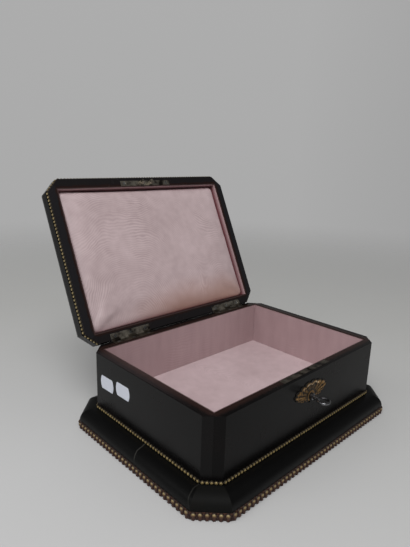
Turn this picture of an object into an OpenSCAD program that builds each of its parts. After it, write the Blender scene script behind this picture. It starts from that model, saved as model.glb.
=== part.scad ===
// Stationery box: an ebonised case with cut corners on a moulded plinth, beaded brass edging,
// silk-covered linings and a hinged lid with a padded cushion, a box lock and its pipe key.
// Millimetres, +Z up. The origin is on the table under the middle of the case, +Y is the hinge
// side and -Y the lock side. The lid is drawn open, where its hinges stop.

/* [Case] */
// Width of the case over its walls
body_w = 300; // [260:1:340]
// Depth of the case over its walls
body_d = 212; // [190:1:250]
// Height of the case's rim above the table
rim_z = 94; // [88:1:130]
// Thickness of the case walls and of the lid's rails
wall_t = 11.4; // [10.6:0.1:13]
// Leg of the cut at each corner
corner_cut = 15.5; // [13:0.1:16]
// Thickness of the board under the case
base_t = 8.2; // [8:0.1:12]
// Height of the floor board's underside above the table
floor_board_z = 24; // [16:0.5:30]
// Thickness of the floor board
floor_board_t = 7; // [5:0.5:9]
// Depth of the groove that holds the floor board
groove_d = 4; // [2:0.5:6]
// Wood left outside the groove at each cut corner
corner_wood = 3; // [2:0.5:3.5]

/* [Plinth] */
// How far the base board stands out from the case walls
plinth_out = 19.8; // [14:0.1:26]
// Height of the plinth moulding
moulding_h = 13.8; // [10:0.1:18]
// Width of the flat at the top of the plinth moulding
moulding_flat = 3.5; // [2:0.1:5]
// Fullness of the plinth moulding's curve, where 2 is an ellipse
moulding_fullness = 2.4; // [2:0.1:3]

/* [Lid] */
// Height of the lid above its rim
lid_h = 25; // [22:0.5:34]
// Gap between the lid's rim and the case's rim when the lid is shut
rim_gap = 0.4; // [0.2:0.05:0.8]
// Angle that the lid opens to, where its hinges stop
lid_open = 115.5; // [95:0.5:118]
// Height of the plain edge of the lid that carries the beading
lid_edge_h = 5.6; // [5.2:0.1:8]
// Thickness of the lid's moulding behind the line of the wall
lid_moulding_t = 4.5; // [3:0.1:4.7]
// How far the lid's moulding stands out from its rails
lid_moulding_out = 1.6; // [0.8:0.1:2.5]
// Height of the curve at the lid's top edge
lid_curve_h = 10; // [6:0.5:12]
// Thickness of the lid's top panel
lid_panel_t = 7.5; // [5:0.5:9]

/* [Beading] */
// Radius of the small beads on the lid and above the plinth
small_bead_r = 2; // [1.5:0.05:2.2]
// Spacing of the small beads
small_bead_pitch = 4.5; // [4.5:0.1:7]
// Radius of the large beads round the base
large_bead_r = 2.8; // [2:0.1:3]
// Spacing of the large beads
large_bead_pitch = 6.4; // [6.2:0.1:9]
// Gap between the ends of two strips of beads at a corner
strip_gap = 0.1; // [0.05:0.05:0.4]
// Radius of the wire that joins the beads
bead_web_r = 0.8; // [0.5:0.1:1.2]
// Height of the large beads' centres above the table
large_bead_z = 5.6; // [4:0.1:6]
// Radius of the rib under each large bead
rib_r = 2.1; // [1.5:0.1:2.4]
// Thickness of the strip that the ribs stand on
rib_strip_t = 0.6; // [0.4:0.1:1]
// Height of the ribs' lower ends above the table
rib_low_z = 0.5; // [0.2:0.1:1.5]
// Height of the small beads' centres above the top of the plinth moulding
upper_bead_rise = 2.3; // [2.2:0.1:4]
// Height of the lid's beads above its rim
lid_bead_h = 3; // [2.6:0.1:3.2]

/* [Linings] */
// Thickness of the silk-covered card on the walls
lining_t = 1.8; // [1:0.1:3]
// Thickness of the padded card on the floor
floor_lining_t = 2.6; // [1.5:0.1:4]
// How far the linings stop below the rims
lining_drop = 0.6; // [0.3:0.1:2]
// Gap round a lining or a board that drops into place
lining_fit = 0.15; // [0.05:0.05:0.4]
// Thickness of the board that carries the lid's cushion
pad_board_t = 1.8; // [1:0.1:3]
// Thickness of the lid's cushion at its crown
pad_crown = 11; // [5:0.5:12]
// Gap between the cushion and the lining at the cushion's corners
pad_gap = 1; // [0.4:0.1:3]
// How far the cushion's sides draw in between its corners
pad_draw = 2; // [0:0.1:5]

/* [Hinges] */
// Length of each hinge
hinge_l = 60; // [50:5:80]
// Distance of each hinge's middle from the middle of the case
hinge_x = 88; // [60:1:92]
// Width of each leaf, from the back of the case
leaf_w = 8; // [7:0.1:9.5]
// Thickness of each leaf
leaf_t = 1.2; // [0.8:0.1:1.5]
// Radius of the knuckles
knuckle_r = 2; // [1.8:0.05:2.3]
// Radius of the hinge pins
hinge_pin_r = 1; // [0.7:0.05:1.2]
// Distance of the pin behind the back wall
pin_out = 1; // [0.6:0.05:1.4]
// Running clearance of a pin in its bore
pin_fit = 0.05; // [0.02:0.01:0.1]
// Clearance beside the knuckles
knuckle_fit = 0.15; // [0.1:0.05:0.4]

/* [Lock] */
// Length of the lock's edge plate and of the strike plate
edge_plate_l = 86; // [76:1:110]
// Width of the lock's edge plate and of the strike plate
edge_plate_w = 7.2; // [7:0.1:8]
// Thickness of the lock's edge plate
edge_plate_t = 1.8; // [1.2:0.1:2.2]
// Thickness of the strike plate
strike_t = 1.4; // [1:0.1:2]
// Width of the lock's body
lock_w = 60; // [56:1:70]
// Height of the lock's body below its edge plate
lock_h = 36; // [35:1:44]
// Depth of the lock's body into the wall
lock_d = 7.4; // [7.2:0.1:7.8]
// Thickness of the lock's plates
lock_plate_t = 1.1; // [0.8:0.1:1.2]
// Clearance of the lock and plates in their recesses
recess_fit = 0.1; // [0.05:0.05:0.3]
// Depth of the key's axis below the rim
key_drop = 26.5; // [25.5:0.5:28]
// Travel of the bolt
bolt_travel = 6.5; // [5.5:0.1:7]
// Thickness of the bolt
bolt_t = 2.4; // [2:0.1:2.6]
// Height of the bolt's bar
bolt_h = 7.3; // [7:0.1:8]
// Thickness of the spring that bears on the bolt
spring_t = 0.6; // [0.4:0.1:0.8]
// Distance of the spring's tip to the right of the keyhole
spring_tip_x = 5.5; // [5:0.5:8]
// Rise of the spring from its tip to its foot
spring_rise = 4; // [3:0.5:5]
// Distance between the two staples
staple_pitch = 16; // [15:0.5:18]
// Offset of the staples' middle to the left of the keyhole
staple_offset = 2; // [0:0.5:3]
// Thickness of each staple
staple_t = 2.4; // [2:0.1:3]
// Width of each staple
staple_w = 5; // [4.6:0.1:5.2]
// How far each staple reaches below the strike plate's rim
staple_h = 9; // [8:0.1:9.4]

/* [Key and escutcheon] */
// Radius of the key's barrel
barrel_r = 2.5; // [2.2:0.1:3]
// Radius of the drill pin that the barrel turns on
drill_pin_r = 1; // [0.8:0.05:1.3]
// Reach of the key's bit from its axis
bit_r = 8.5; // [8:0.1:8.6]
// Thickness of the key's bit
bit_t = 2; // [1.6:0.1:2.4]
// Distance from the wall to the middle of the key's bow
bow_out = 17.5; // [15:0.5:26]
// Radius of the bow's ring, to the middle of its wire
bow_ring_r = 6.2; // [5:0.1:8]
// Radius of the bow's wire
bow_wire_r = 1.5; // [1:0.1:2]
// Angle of the key as it stands in the lock, from its bit down
key_rest = 90; // [0:90:90]
// Clearance of the key in the keyholes
keyhole_fit = 0.4; // [0.3:0.05:0.6]
// Width of the escutcheon
escutcheon_w = 62; // [50:1:80]
// Height of the escutcheon
escutcheon_h = 25; // [22:1:34]
// Thickness of the escutcheon
escutcheon_t = 2; // [1:0.1:3]
// Height of the escutcheon's middle above the key's axis
escutcheon_rise = 3.5; // [0:0.5:4]
// Size of the escutcheon's raised field, as a share of its outline
escutcheon_field = 0.84; // [0.7:0.01:0.9]

/* [Screws and pins] */
// Radius of a screw's shank
screw_r = 1.1; // [0.9:0.05:1.2]
// Radius of a screw's head
screw_head_r = 2.1; // [1.8:0.05:2.2]
// Length of a screw
screw_l = 8; // [6:0.5:9]
// Clearance of a screw in its holes
screw_fit = 0.08; // [0.05:0.01:0.15]
// Radius of the pins that hold the escutcheon
pin_nail_r = 0.7; // [0.5:0.05:0.9]
// Length of the pins that hold the escutcheon
pin_nail_l = 4.5; // [3.5:0.1:5]

/* [Hidden] */
$fn = 32;
eps = 0.01;
// Reach of a cut past the piece that it opens
beyond = 10;
black = "#1b1918";
brown = "#3a2a22";
brass = "#a58a52";
steel = "#8d8b86";
silk = "#cfc0c0";

// Half width and half depth of the case over its walls
half_w = body_w / 2;
half_d = body_d / 2;
// A line that is moved out by 1 at a cut corner grows by this much at each end
corner_grow = sqrt(2) - 1;
half_facet = corner_cut / sqrt(2);
plinth_z = base_t + moulding_h;
floor_top_z = floor_board_z + floor_board_t;
lid_z = rim_z + rim_gap;
pin_y = half_d + pin_out;
pin_z = rim_z + rim_gap / 2;
// Heights inside the lid, above its rim
lid_ceiling = lid_h - lid_panel_t;
pad_back = lid_ceiling - pad_board_t;
// Inner faces of the walls
in_x = half_w - wall_t;
in_y = half_d - wall_t;
// Lock: the edge plates lie along the wall's inner face
plate_y = -in_y - edge_plate_w / 2;
lock_back_y = -in_y;
lock_front_y = -in_y - lock_d;
lock_top_z = rim_z - edge_plate_t;
lock_low_z = lock_top_z - lock_h;
key_z = rim_z - key_drop;
cavity_back_y = lock_back_y - lock_plate_t;
cavity_front_y = lock_front_y + lock_plate_t;
bolt_gap = 0.2;
bolt_y = plate_y;
// The bolt's bar lies just within reach of the bit, which turns in a notch
bit_bite = 1.3;
bolt_low_z = key_z + bit_r - bit_bite;
notch_d = bit_bite + 0.5;
notch_half = sqrt(pow(bit_r, 2) - pow(bit_r - bit_bite, 2)) + bit_t / 2 + 1.1;
finger_t = 2.4;
finger_gap = 0.9;
finger_l = bolt_travel + 0.7;
stem_w = 3.5;
finger_fit = 0.5;
staple_wall = 1;
staple_low_z = lid_z - staple_h;
staple_eye_z = staple_low_z + 1.2;
staple_eye_h = finger_t + 2 * finger_fit;
staple_xs = [for (k = [-0.5, 0.5]) k * staple_pitch - staple_offset];
bar_x0 = staple_xs[0] - staple_t / 2 - finger_gap - finger_l - stem_w;
bar_x1 = 13;
stud_r = 1.25;
stud_fit = 0.06;
stud_xs = [bar_x0 + bolt_travel + 4.2, 9];
stud_z = bolt_low_z + bolt_h * 0.62;
plate_screw_x = edge_plate_l / 2 - 6;
barrel_end_y = cavity_back_y - 0.3;
collar_out = 2.6;
collar_t = 2;
collar_r = barrel_r + 1.1;
hinge_screw_xs = [-0.38, 0, 0.38];
knuckles = 5;
knuckle_l = hinge_l / knuckles;
pad_steps_x = 34;
pad_steps_y = 26;

// Leg of the corner cut on an outline that is moved out by o
function cut_at(o) = corner_cut + (2 - sqrt(2)) * o;

// Outline of the case moved out by o
function outline(o) =
    let (w = half_w + o, d = half_d + o, c = cut_at(o))
    [[-w, -d + c], [-w + c, -d], [w - c, -d], [w, -d + c],
     [w, d - c], [w - c, d], [-w + c, d], [-w, d - c]];

// Plan of a wall board: half length hl to the corner, face at distance hd, mitred at both ends
function board_plan(hl, hd) =
    let (c = corner_cut, t = wall_t)
    [[-hl + t, -hd + t], [-hl + c / 2, -hd + c / 2], [-hl + c, -hd],
     [hl - c, -hd], [hl - c / 2, -hd + c / 2], [hl - t, -hd + t]];

// Plan of a mitred moulding from offset o0 to offset o1 before a face of half length hl
function moulding_plan(hl, o0, o1) =
    [[-hl - corner_grow * o0, -o0], [-hl - corner_grow * o1, -o1],
     [hl + corner_grow * o1, -o1], [hl + corner_grow * o0, -o0]];

// Plan of the floor board in its groove, or of the groove where fit is 0, with its corners cut
function floor_plan(fit) =
    let (w = in_x + groove_d - fit, d = in_y + groove_d - fit,
         line = half_w + half_d - corner_cut - sqrt(2) * (corner_wood + fit),
         c = max(0.5, w + d - line))
    [[-w, -d + c], [-w + c, -d], [w - c, -d], [w, -d + c],
     [w, d - c], [w - c, d], [-w + c, d], [-w, d - c]];

// Section of the plinth moulding as points of offset and height
plinth_steps = 14;
plinth_section = concat(
    [[0, base_t], [plinth_out, base_t]],
    [for (i = [0:plinth_steps])
        let (a = 90 * i / plinth_steps, e = 2 / moulding_fullness)
        [moulding_flat + (plinth_out - moulding_flat) * pow(cos(a), e),
         base_t + 1 + (moulding_h - 1) * pow(sin(a), e)]],
    [[0, plinth_z]]
);

// Section of the lid moulding as points of offset and height above the lid's rim
lid_steps = 10;
lid_section = concat(
    [[-lid_moulding_t, lid_edge_h], [lid_moulding_out, lid_edge_h]],
    [for (i = [0:lid_steps])
        let (a = 90 * i / lid_steps)
        [-lid_moulding_t + (lid_moulding_out + lid_moulding_t) * cos(a),
         lid_h - lid_curve_h * (1 - sin(a))]]
);

// The eight faces: 0 to 3 are front, left, back and right, 4 to 7 the corners between them
module on_face(k) {
    c = corner_cut / 2;
    places = [[0, -half_d], [-half_w, 0], [0, half_d], [half_w, 0],
              [-half_w + c, -half_d + c], [-half_w + c, half_d - c],
              [half_w - c, half_d - c], [half_w - c, -half_d + c]];
    turns = [0, -90, 180, 90, -45, -135, 135, 45];
    translate([places[k][0], places[k][1], 0]) rotate([0, 0, turns[k]]) children();
}

function half_face(k) =
    k > 3 ? half_facet : (k % 2 == 0 ? half_w : half_d) - corner_cut;

// Turns what is drawn on a shut lid to the open lid
module open_lid() {
    translate([0, pin_y, pin_z]) rotate([-lid_open, 0, 0]) translate([0, -pin_y, -pin_z]) children();
}

module board(k, z0, z1) {
    turn = [0, -90, 180, 90][k];
    hl = k % 2 == 0 ? half_w : half_d;
    hd = k % 2 == 0 ? half_d : half_w;
    translate([0, 0, z0]) rotate([0, 0, turn]) linear_extrude(z1 - z0) polygon(board_plan(hl, hd));
}

// One mitred length of a moulding whose section runs from offset o0 to o1 and up to height top
module moulding(k, section, o0, o1, top) {
    reach = half_face(k) + corner_grow * o1;
    on_face(k) intersection() {
        rotate([90, 0, 90]) linear_extrude(2 * reach, center = true)
            polygon([for (p = section) [-p[0], p[1]]]);
        linear_extrude(top + 1) polygon(moulding_plan(half_face(k), o0, o1));
    }
}

function bead_count(hl, pitch) = round(2 * hl / pitch);

// A half-round beaded strip along X, flat against the face behind it
module beaded_strip(hl, r, pitch) {
    n = bead_count(hl, pitch);
    step = 2 * hl / n;
    rotate([180, 0, 0]) rotate([0, 90, 0]) rotate_extrude(angle = 180) intersection() {
        union() {
            for (i = [0:n - 1]) translate([0, -hl + (i + 0.5) * step]) circle(r);
            translate([0, -hl]) square([bead_web_r, 2 * hl]);
        }
        translate([0, -hl]) square([r, 2 * hl]);
    }
}

module beading(faces, o, z, r, pitch) {
    for (k = faces) on_face(k) translate([0, -o, z])
        beaded_strip(half_face(k) + corner_grow * o - strip_gap / 2, r, pitch);
}

// A flat strip with one upright rib under each large bead
module ribbed_strip(hl) {
    n = bead_count(hl, large_bead_pitch);
    step = 2 * hl / n;
    linear_extrude(large_bead_z - rib_low_z) intersection() {
        union() {
            for (i = [0:n - 1]) translate([-hl + (i + 0.5) * step, 0]) circle(rib_r);
            translate([-hl, -rib_strip_t]) square([2 * hl, rib_strip_t]);
        }
        translate([-hl, -rib_r]) square([2 * hl, rib_r]);
    }
}

// A countersunk screw that points down from its flush head
module screw() {
    difference() {
        union() {
            translate([0, 0, -screw_l]) cylinder(h = screw_l - eps, r = screw_r);
            translate([0, 0, screw_r - screw_head_r]) cylinder(h = screw_head_r - screw_r, r1 = screw_r, r2 = screw_head_r);
        }
        translate([-screw_head_r, -0.25, -0.5]) cube([2 * screw_head_r, 0.5, 0.5 + eps]);
    }
}

// The hole and countersink that a screw takes
module screw_hole() {
    translate([0, 0, -screw_l - 0.4]) cylinder(h = screw_l + 0.5, r = screw_r + screw_fit);
    translate([0, 0, screw_r - screw_head_r]) cylinder(h = screw_head_r - screw_r, r1 = screw_r + screw_fit, r2 = screw_head_r + screw_fit);
    cylinder(h = 1, r = screw_head_r + screw_fit);
}

module at_hinges() {
    for (s = [-1, 1]) translate([s * hinge_x, 0, 0]) children();
}

module at_hinge_screws() {
    at_hinges() for (f = hinge_screw_xs) translate([f * hinge_l, half_d - leaf_w / 2 - 0.2, 0]) children();
}

// Recess for a leaf and its knuckles in a rim at height 0, with the wood below
module leaf_recess() {
    l = hinge_l + 2 * recess_fit;
    y0 = half_d - leaf_w - recess_fit;
    relief_y = pin_y - knuckle_r - 2 * knuckle_fit;
    relief_h = knuckle_r + rim_gap / 2 + knuckle_fit;
    translate([-l / 2, y0, -leaf_t]) cube([l, leaf_w + 5, leaf_t + 1]);
    translate([-l / 2, relief_y, -relief_h]) cube([l, 5, relief_h + 1]);
}

// A leaf that lies below height 0 and carries the knuckles in the list own; the pin is at height up
module leaf(own, up) {
    difference() {
        union() {
            difference() {
                translate([-hinge_l / 2, half_d - leaf_w, -leaf_t]) cube([hinge_l, leaf_w + pin_out, leaf_t]);
                for (i = [0:knuckles - 1]) if (len(search(i, own)) == 0)
                    translate([-hinge_l / 2 + i * knuckle_l - knuckle_fit, pin_y - knuckle_r - knuckle_fit, -leaf_t - 1])
                        cube([knuckle_l + 2 * knuckle_fit, beyond, leaf_t + 2]);
                translate([-hinge_l, pin_y - eps, up]) rotate([0, 90, 0]) cylinder(h = 2 * hinge_l, r = hinge_pin_r);
            }
            for (i = own) {
                end_trim = knuckle_fit / 2;
                translate([-hinge_l / 2 + i * knuckle_l + end_trim, pin_y, up]) rotate([0, 90, 0])
                    cylinder(h = knuckle_l - 2 * end_trim, r = knuckle_r);
            }
        }
        translate([-hinge_l, pin_y, up]) rotate([0, 90, 0]) cylinder(h = 2 * hinge_l, r = hinge_pin_r + pin_fit);
        for (f = hinge_screw_xs) translate([f * hinge_l, half_d - leaf_w / 2 - 0.2, 0]) screw_hole();
    }
}

// What is drawn below height 0 is turned over to lie on the lid's rim
module on_lid_rim() {
    translate([0, 0, lid_z]) mirror([0, 0, 1]) children();
}

// Keyhole through a plate, seen from the front: a round with a slot down
module keyhole(y0, y1, spare) {
    slot_w = bit_t + 2 * spare;
    translate([0, y1, key_z]) rotate([90, 0, 0]) cylinder(h = y1 - y0, r = barrel_r + spare);
    translate([-slot_w / 2, y0, key_z - bit_r - spare]) cube([slot_w, y1 - y0, bit_r + spare]);
}

module base_board() {
    color(brown) linear_extrude(base_t) polygon(outline(plinth_out));
}

module floor_board() {
    color(brown) translate([0, 0, floor_board_z]) linear_extrude(floor_board_t) polygon(floor_plan(lining_fit));
}

// A case wall with the groove for the floor board
module wall(k) {
    difference() {
        board(k, base_t, rim_z);
        translate([0, 0, floor_board_z]) linear_extrude(floor_board_t + lining_fit) polygon(floor_plan(0));
    }
}

module wall_front() {
    color(black) difference() {
        wall(0);
        f = recess_fit;
        translate([-lock_w / 2 - f, lock_front_y - f, lock_low_z - f]) cube([lock_w + 2 * f, lock_d + 1, lock_h + beyond]);
        translate([-edge_plate_l / 2 - f, -in_y - edge_plate_w - f, lock_top_z]) cube([edge_plate_l + 2 * f, edge_plate_w + 1, beyond]);
        keyhole(-half_d - 1, lock_front_y + 1, keyhole_fit);
        for (s = [-1, 1]) translate([s * plate_screw_x, plate_y, rim_z]) screw_hole();
        at_escutcheon_pins() cylinder(h = pin_nail_l + 0.3, r = pin_nail_r + screw_fit);
    }
}

module wall_back() {
    color(black) difference() {
        wall(2);
        at_hinges() translate([0, 0, rim_z]) leaf_recess();
        at_hinge_screws() translate([0, 0, rim_z]) screw_hole();
    }
}

module wall_left() {
    color(black) wall(1);
}

module wall_right() {
    color(black) wall(3);
}

module plinth(k) {
    moulding(k, plinth_section, 0, plinth_out, plinth_z);
}

module plinth_front() {
    color(black) plinth(0);
}

module plinth_left() {
    color(black) plinth(1);
}

module plinth_back() {
    color(black) plinth(2);
}

module plinth_right() {
    color(black) plinth(3);
}

module plinth_corners() {
    color(black) for (k = [4:7]) plinth(k);
}

module beading_base() {
    color(brass) {
        beading([0:7], plinth_out, large_bead_z, large_bead_r, large_bead_pitch);
        for (k = [0:7]) on_face(k) translate([0, -plinth_out, rib_low_z])
            ribbed_strip(half_face(k) + corner_grow * plinth_out - strip_gap / 2);
    }
}

module beading_case() {
    color(brass) beading([0:7], 0, plinth_z + upper_bead_rise, small_bead_r, small_bead_pitch);
}

// Lining of the front or back wall, from corner to corner
module lining_long(s) {
    color(silk) translate([-in_x, s > 0 ? in_y - lining_t : -in_y, floor_top_z])
        cube([2 * in_x, lining_t, rim_z - lining_drop - floor_top_z]);
}

// Lining of a side wall, between the two long ones
module lining_short(s) {
    l = 2 * (in_y - lining_t - lining_fit);
    color(silk) translate([s > 0 ? in_x - lining_t : -in_x, -l / 2, floor_top_z])
        cube([lining_t, l, rim_z - lining_drop - floor_top_z]);
}

module lining_front() {
    lining_long(-1);
}

module lining_back() {
    lining_long(1);
}

module lining_left() {
    lining_short(-1);
}

module lining_right() {
    lining_short(1);
}

module lining_floor() {
    w = 2 * (in_x - lining_t - lining_fit);
    d = 2 * (in_y - lining_t - lining_fit);
    color(silk) translate([-w / 2, -d / 2, floor_top_z]) cube([w, d, floor_lining_t]);
}

module hinge_leaves_case() {
    color(brass) at_hinges() translate([0, 0, rim_z]) leaf([0, 2, 4], rim_gap / 2);
}

module hinge_leaves_lid() {
    color(brass) open_lid() on_lid_rim() at_hinges() leaf([1, 3], rim_gap / 2);
}

module hinge_pins() {
    color(steel) at_hinges() translate([-hinge_l / 2, pin_y, pin_z]) rotate([0, 90, 0]) cylinder(h = hinge_l, r = hinge_pin_r);
}

module hinge_screws_case() {
    color(steel) at_hinge_screws() translate([0, 0, rim_z]) screw();
}

module hinge_screws_lid() {
    color(steel) open_lid() on_lid_rim() at_hinge_screws() screw();
}

// Back plate, side walls and edge plate of the lock, bent and riveted as one
module lock_case() {
    color(brass) difference() {
        union() {
            translate([-lock_w / 2, lock_front_y + lock_plate_t, lock_low_z])
                cube([lock_w, lock_d - lock_plate_t, lock_h + eps]);
            translate([-edge_plate_l / 2, -in_y - edge_plate_w, lock_top_z])
                cube([edge_plate_l, edge_plate_w, edge_plate_t]);
        }
        translate([-lock_w / 2 + lock_plate_t, lock_front_y - 1, lock_low_z + lock_plate_t])
            cube([lock_w - 2 * lock_plate_t, 1 + cavity_back_y - lock_front_y, lock_h - lock_plate_t]);
        for (x = staple_xs) {
            w = staple_t + 2 * finger_fit;
            d = staple_w + 2 * finger_fit;
            translate([x - w / 2, plate_y - d / 2, lock_top_z - 1]) cube([w, d, edge_plate_t + 2]);
        }
        for (s = [-1, 1]) translate([s * plate_screw_x, plate_y, rim_z]) screw_hole();
        translate([0, lock_back_y + 1, key_z]) rotate([90, 0, 0]) cylinder(h = lock_plate_t + 2, r = drill_pin_r + 0.02);
    }
}

module lock_cap() {
    color(brass) difference() {
        translate([-lock_w / 2, lock_front_y, lock_low_z]) cube([lock_w, lock_plate_t, lock_h]);
        keyhole(lock_front_y - 1, lock_front_y + 2, keyhole_fit);
    }
}

// The bolt: a bar with two fingers that slide into the staples, and a notch for the bit
module lock_bolt() {
    // The notch is above the keyhole when the bit points up
    notch_x = -bolt_travel * (180 - key_rest) / 360;
    bar_top = bolt_low_z + bolt_h;
    finger_z = staple_eye_z + finger_fit;
    color(steel) translate([0, bolt_y + bolt_t / 2, 0]) rotate([90, 0, 0]) linear_extrude(bolt_t) difference() {
        union() {
            translate([bar_x0, bolt_low_z]) square([bar_x1 - bar_x0, bolt_h]);
            for (x = staple_xs) {
                tip = x - staple_t / 2 - finger_gap;
                translate([tip - finger_l - stem_w, bar_top - eps]) square([stem_w, finger_z + finger_t - bar_top + eps]);
                translate([tip - finger_l - eps, finger_z]) square([finger_l + eps, finger_t]);
            }
        }
        translate([notch_x - notch_half, bolt_low_z - 1]) square([2 * notch_half, 1 + notch_d]);
        for (x = stud_xs) hull() {
            translate([x, stud_z]) circle(stud_r + stud_fit);
            translate([x - bolt_travel, stud_z]) circle(stud_r + stud_fit);
        }
    }
}

module lock_studs() {
    color(steel) for (x = stud_xs) translate([x, cavity_back_y, stud_z]) rotate([90, 0, 0])
        cylinder(h = cavity_back_y - cavity_front_y, r = stud_r);
}

module lock_drill_pin() {
    color(steel) translate([0, lock_back_y, key_z]) rotate([90, 0, 0]) cylinder(h = half_d - in_y - 1, r = drill_pin_r);
}

// A leaf spring from the lock's side wall that bears on the top of the bolt's bar
module lock_spring() {
    x1 = lock_w / 2 - lock_plate_t;
    x0 = spring_tip_x;
    foot = 2;
    pad = 2.6;
    z = bolt_low_z + bolt_h + bolt_gap;
    top = z + spring_rise;
    color(steel) translate([0, bolt_y + bolt_t / 2, 0]) rotate([90, 0, 0]) linear_extrude(bolt_t)
        polygon([[x1, top], [x1 - foot, top], [x0 + pad, z + spring_t], [x0, z + spring_t], [x0, z],
                 [x0 + pad + 0.4, z], [x1 - foot, top - spring_t], [x1, top - spring_t]]);
}

module lock_screws() {
    color(steel) for (s = [-1, 1]) translate([s * plate_screw_x, plate_y, rim_z]) screw();
}

// Right half of the escutcheon's leafy edge, from top to bottom, in shares of its half width and height
escutcheon_wing = [
    [0, 0.8], [0.05, 0.93], [0.13, 1], [0.24, 0.98], [0.33, 0.88], [0.38, 0.72], [0.45, 0.8], [0.54, 0.8],
    [0.63, 0.71], [0.68, 0.52], [0.74, 0.56], [0.83, 0.52], [0.91, 0.38], [0.93, 0.2], [1, 0.1], [0.99, -0.08],
    [0.91, -0.2], [0.9, -0.38], [0.82, -0.52], [0.73, -0.56], [0.69, -0.72], [0.6, -0.84], [0.49, -0.84],
    [0.42, -0.76], [0.37, -0.9], [0.27, -1], [0.17, -0.95], [0.12, -0.82], [0.06, -0.94], [0, -0.97]
];

// The escutcheon's edge from its middle, at the share k of its size
function escutcheon_edge(k) =
    let (n = len(escutcheon_wing), w = k * escutcheon_w / 2, h = k * escutcheon_h / 2)
    concat([for (p = escutcheon_wing) [w * p[0], h * p[1]]],
           [for (i = [n - 2:-1:1]) [-w * escutcheon_wing[i][0], h * escutcheon_wing[i][1]]]);

module at_escutcheon_pins() {
    for (s = [-1, 1]) translate([s * escutcheon_w * 0.385, -half_d - escutcheon_t, key_z + escutcheon_rise])
        rotate([-90, 0, 0]) children();
}

// A thin leafy plate with a raised field
module escutcheon() {
    z = key_z + escutcheon_rise;
    color(brass) difference() {
        union() {
            translate([0, -half_d, z]) rotate([90, 0, 0]) linear_extrude(escutcheon_t / 2)
                polygon(escutcheon_edge(1));
            translate([0, -half_d, z]) rotate([90, 0, 0]) linear_extrude(escutcheon_t)
                polygon(escutcheon_edge(escutcheon_field));
        }
        keyhole(-half_d - escutcheon_t - 1, -half_d + 1, keyhole_fit);
        at_escutcheon_pins() translate([0, 0, -1]) cylinder(h = pin_nail_l, r = pin_nail_r + screw_fit);
    }
}

module escutcheon_pins() {
    color(brass) at_escutcheon_pins() cylinder(h = pin_nail_l, r = pin_nail_r);
}

// A pipe key: barrel over the drill pin, collar, ring bow and a plain bit
module key() {
    bow_y = -half_d - bow_out;
    barrel_l = barrel_end_y - (bow_y + bow_ring_r);
    pipe_l = half_d - in_y;
    bit_y0 = bolt_y - bolt_t / 2 - 1;
    bit_y1 = bolt_y + bolt_t / 2 + 0.4;
    color(steel) translate([0, 0, key_z]) rotate([0, key_rest, 0]) difference() {
        union() {
            translate([0, barrel_end_y, 0]) rotate([90, 0, 0]) cylinder(h = barrel_l, r = barrel_r);
            translate([0, -half_d - collar_out, 0]) rotate([90, 0, 0]) cylinder(h = collar_t, r = collar_r);
            translate([0, bow_y, 0]) rotate([0, 90, 0]) rotate_extrude() translate([bow_ring_r, 0]) circle(bow_wire_r);
            translate([-bit_t / 2, bit_y0, -bit_r]) cube([bit_t, bit_y1 - bit_y0, bit_r]);
        }
        translate([0, barrel_end_y + 1, 0]) rotate([90, 0, 0]) cylinder(h = pipe_l + 1, r = drill_pin_r + pin_fit);
    }
}

// A lid rail: full width at the rim, rebated above for the moulding
module lid_rail(k) {
    board(k, lid_z, lid_z + lid_edge_h);
    intersection() {
        board(k, lid_z + lid_edge_h - eps, lid_z + lid_ceiling);
        translate([0, 0, lid_z]) linear_extrude(lid_h) polygon(outline(-lid_moulding_t));
    }
}

module lid_rail_front() {
    f = recess_fit;
    color(black) open_lid() difference() {
        lid_rail(0);
        translate([-edge_plate_l / 2 - f, -in_y - edge_plate_w - f, lid_z - 1]) cube([edge_plate_l + 2 * f, edge_plate_w + 1, strike_t + 1]);
        on_lid_rim() for (s = [-1, 1]) translate([s * plate_screw_x, plate_y, 0]) screw_hole();
    }
}

module lid_rail_back() {
    color(black) open_lid() difference() {
        lid_rail(2);
        on_lid_rim() {
            at_hinges() leaf_recess();
            at_hinge_screws() screw_hole();
        }
    }
}

module lid_rail_left() {
    color(black) open_lid() lid_rail(1);
}

module lid_rail_right() {
    color(black) open_lid() lid_rail(3);
}

module lid_moulding(k) {
    open_lid() translate([0, 0, lid_z]) moulding(k, lid_section, -lid_moulding_t, lid_moulding_out, lid_h);
}

module lid_moulding_front() {
    color(black) lid_moulding(0);
}

module lid_moulding_left() {
    color(black) lid_moulding(1);
}

// The screws of the hinges pass through the rail and just into this moulding
module lid_moulding_back() {
    color(black) difference() {
        lid_moulding(2);
        open_lid() on_lid_rim() at_hinge_screws() screw_hole();
    }
}

module lid_moulding_right() {
    color(black) lid_moulding(3);
}

module lid_moulding_corners() {
    color(black) for (k = [4:7]) lid_moulding(k);
}

module lid_panel() {
    color(black) open_lid() translate([0, 0, lid_z + lid_ceiling]) linear_extrude(lid_panel_t) polygon(outline(-lid_moulding_t));
}

// The hinges take the place of beading along the back
module beading_lid() {
    color(brass) open_lid() beading([0, 1, 3, 4, 5, 6, 7], 0, lid_z + lid_bead_h, small_bead_r, small_bead_pitch);
}

// Silk-covered card round the inside of the lid
module lid_lining() {
    h = lid_ceiling - lining_drop;
    l = 2 * (in_y - lining_t - lining_fit);
    color(silk) open_lid() translate([0, 0, lid_z + lining_drop]) {
        for (y = [-in_y, in_y - lining_t]) translate([-in_x, y, 0]) cube([2 * in_x, lining_t, h]);
        for (x = [-in_x, in_x - lining_t]) translate([x, -l / 2, 0]) cube([lining_t, l, h]);
    }
}

module lid_pad_board() {
    w = 2 * (in_x - lining_t - lining_fit);
    d = 2 * (in_y - lining_t - lining_fit);
    color(silk) open_lid() translate([-w / 2, -d / 2, lid_z + pad_back]) cube([w, d, pad_board_t]);
}

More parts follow.
